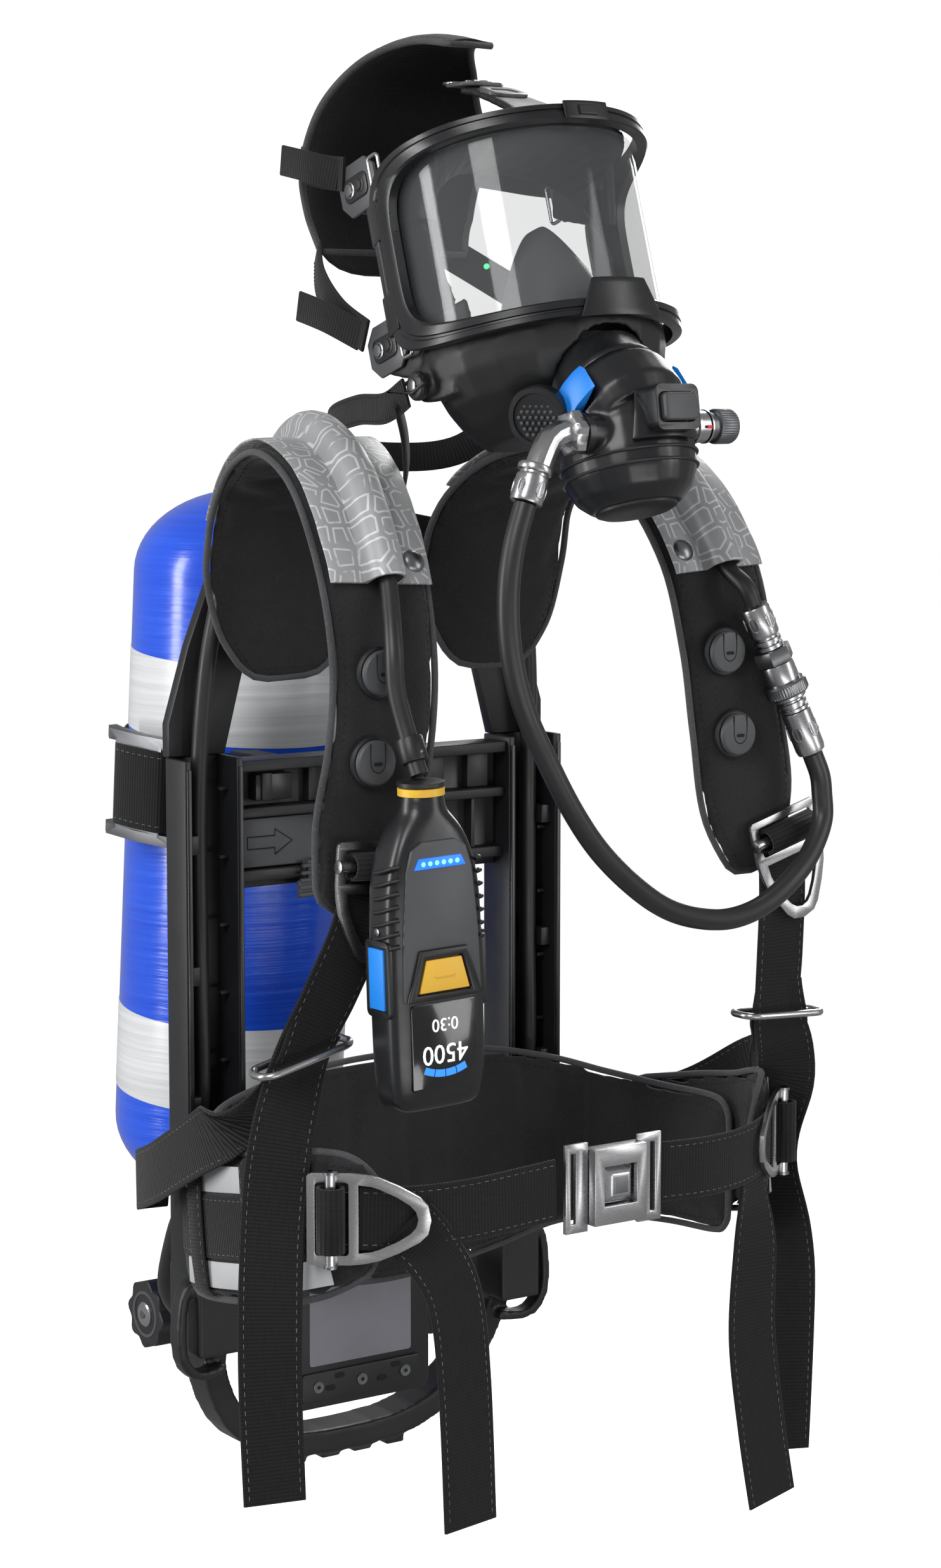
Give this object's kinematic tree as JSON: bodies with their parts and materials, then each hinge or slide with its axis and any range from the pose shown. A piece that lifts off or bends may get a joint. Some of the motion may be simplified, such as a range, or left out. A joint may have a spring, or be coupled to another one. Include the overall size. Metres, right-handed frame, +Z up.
{
  "type": "self-contained breathing apparatus",
  "caption": "Worn breathing set: padded backplate harness with an air cylinder, waist belt, chest console on a hose, and a full-face mask with its demand valve.",
  "frame": {"origin": "middle of the backplate's wearer side, at the height of the waist belt", "axes": "+Z up as worn, -Y towards the wearer and the mask's front, +X towards the wearer's left; node names left and right mean the -X and the +X side"},
  "size_m": [0.4763, 0.6314, 1.0032],
  "materials": {
    "black_plastic": "satin black moulded plastic",
    "dark_rubber": "matt black rubber",
    "hose_rubber": "smooth semi-matt black hose",
    "pad_fabric": "charcoal foam-backed fabric",
    "webbing": "ribbed black webbing with pale stitches",
    "reflective": "light silver-grey reflective cloth",
    "steel": "satin stainless steel",
    "grey_metal": "satin grey anodised metal",
    "cylinder_blue": "glossy royal blue paint on a wound composite cylinder",
    "release_blue": "satin azure plastic",
    "alert_yellow": "satin yellow plastic",
    "clear_visor": "clear polycarbonate, lightly smoked"
  },
  "bodies": {
    "frame": {"rail_left": "black_plastic", "rail_right": "black_plastic", "crossbar": "black_plastic", "yoke": "black_plastic", "foot_frame": "black_plastic", "control_module": "black_plastic", "cylinder": "cylinder_blue", "cylinder_band": "webbing", "band_buckle": "steel", "cylinder_valve": "grey_metal", "pressure_reducer": "grey_metal", "shoulder_pad_left": "pad_fabric", "shoulder_pad_right": "pad_fabric", "shoulder_cover_left": "reflective", "shoulder_cover_right": "reflective", "hose_clip_left_1": "black_plastic", "hose_clip_left_2": "black_plastic", "hose_clip_right_1": "black_plastic", "hose_clip_right_2": "black_plastic", "console_hose": "hose_rubber", "supply_hose": "hose_rubber", "console_case": "black_plastic", "hose_coupling": "steel", "demand_hose": "hose_rubber", "demand_valve": "dark_rubber", "hose_elbow": "steel", "lumbar_pad": "pad_fabric", "hip_pad_left": "pad_fabric", "hip_pad_right": "pad_fabric", "shoulder_webbing_left": "webbing", "shoulder_webbing_right": "webbing", "strap_keeper_left": "steel", "strap_keeper_right": "steel", "belt_webbing_left": "webbing", "belt_webbing_right": "webbing", "belt_buckle": "steel", "belt_tongue": "steel"},
    "mask": {"face_piece": "dark_rubber", "visor": "clear_visor", "visor_frame": "black_plastic", "nose_cup": "dark_rubber", "mask_port": "black_plastic", "head_harness": "pad_fabric", "neck_strap": "webbing"},
    "handwheel": {"handwheel": "black_plastic"},
    "band_lever": {"band_lever": "grey_metal"},
    "height_latch": {"height_latch": "grey_metal"},
    "console_key": {"console_key": "alert_yellow"},
    "console_side_key_left": {"console_side_key_left": "release_blue"},
    "console_side_key_right": {"console_side_key_right": "release_blue"},
    "coupling_sleeve": {"coupling_sleeve": "grey_metal"},
    "purge_button": {"purge_button": "dark_rubber"},
    "bypass_knob": {"bypass_knob": "grey_metal"},
    "release_button_left": {"release_button_left": "release_blue"},
    "release_button_right": {"release_button_right": "release_blue"},
    "belt_button": {"belt_button": "grey_metal"},
    "shoulder_buckle_left": {"shoulder_buckle_left": "steel"},
    "shoulder_buckle_right": {"shoulder_buckle_right": "steel"},
    "waist_buckle_left": {"waist_buckle_left": "steel"},
    "waist_buckle_right": {"waist_buckle_right": "steel"}
  },
  "joints": [
    {"name": "mask_unplug", "type": "slide", "parent": "frame", "child": "mask", "axis": [0, 0.788, 0.6157], "range_m": [0, 0.042]},
    {"name": "handwheel_turn", "type": "hinge", "parent": "frame", "child": "handwheel", "pos_m": [-0.06, 0.2094, -0.1778], "axis": [1, 0, 0], "continuous": true},
    {"name": "band_lever_open", "type": "hinge", "parent": "frame", "child": "band_lever", "pos_m": [-0.0786, 0.1008, 0.2219], "axis": [0, -0.0924, 0.9957], "range_deg": [0, 110]},
    {"name": "height_latch_slide", "type": "slide", "parent": "frame", "child": "height_latch", "axis": [1, 0, 0], "range_m": [0, 0.018]},
    {"name": "console_key_press", "type": "slide", "parent": "frame", "child": "console_key", "axis": [0, 1, 0], "range_m": [0, 0.0025], "stiffness_N_per_m": 800},
    {"name": "console_side_key_left_press", "type": "slide", "parent": "frame", "child": "console_side_key_left", "axis": [0.9994, 0, 0.0349], "range_m": [0, 0.0025], "stiffness_N_per_m": 800},
    {"name": "console_side_key_right_press", "type": "slide", "parent": "frame", "child": "console_side_key_right", "axis": [-0.9994, 0, -0.0349], "range_m": [0, 0.0025], "stiffness_N_per_m": 800},
    {"name": "coupling_sleeve_pull", "type": "slide", "parent": "frame", "child": "coupling_sleeve", "axis": [-0.3817, 0.1164, 0.9169], "range_m": [0, 0.005], "stiffness_N_per_m": 1500},
    {"name": "purge_button_press", "type": "slide", "parent": "frame", "child": "purge_button", "axis": [0, 0.9878, -0.156], "range_m": [0, 0.0025], "stiffness_N_per_m": 900},
    {"name": "bypass_knob_turn", "type": "hinge", "parent": "frame", "child": "bypass_knob", "pos_m": [0.06, -0.29, 0.491], "axis": [1, 0, 0], "range_deg": [0, 180]},
    {"name": "release_button_left_press", "type": "slide", "parent": "frame", "child": "release_button_left", "axis": [1, 0, 0], "range_m": [0, 0.0025], "stiffness_N_per_m": 900},
    {"name": "release_button_right_press", "type": "slide", "parent": "frame", "child": "release_button_right", "axis": [-1, 0, 0], "range_m": [0, 0.0025], "stiffness_N_per_m": 900},
    {"name": "belt_button_press", "type": "slide", "parent": "frame", "child": "belt_button", "axis": [0, 1, 0], "range_m": [0, 0.0025], "stiffness_N_per_m": 900},
    {"name": "shoulder_buckle_left_tilt", "type": "hinge", "parent": "frame", "child": "shoulder_buckle_left", "pos_m": [-0.154, -0.2316, 0.222], "axis": [-0.9986, 0, 0.0523], "range_deg": [0, 9]},
    {"name": "shoulder_buckle_right_tilt", "type": "hinge", "parent": "frame", "child": "shoulder_buckle_right", "pos_m": [0.178, -0.2296, 0.217], "axis": [-0.9613, 0, -0.2756], "range_deg": [0, 16]},
    {"name": "waist_buckle_left_tilt", "type": "hinge", "parent": "frame", "child": "waist_buckle_left", "pos_m": [-0.2012, -0.2474, 0.008], "axis": [0, 0, -1], "range_deg": [0, 30]},
    {"name": "waist_buckle_right_tilt", "type": "hinge", "parent": "frame", "child": "waist_buckle_right", "pos_m": [0.1873, -0.2164, 0.008], "axis": [0, 0, 1], "range_deg": [0, 22]}
  ]
}
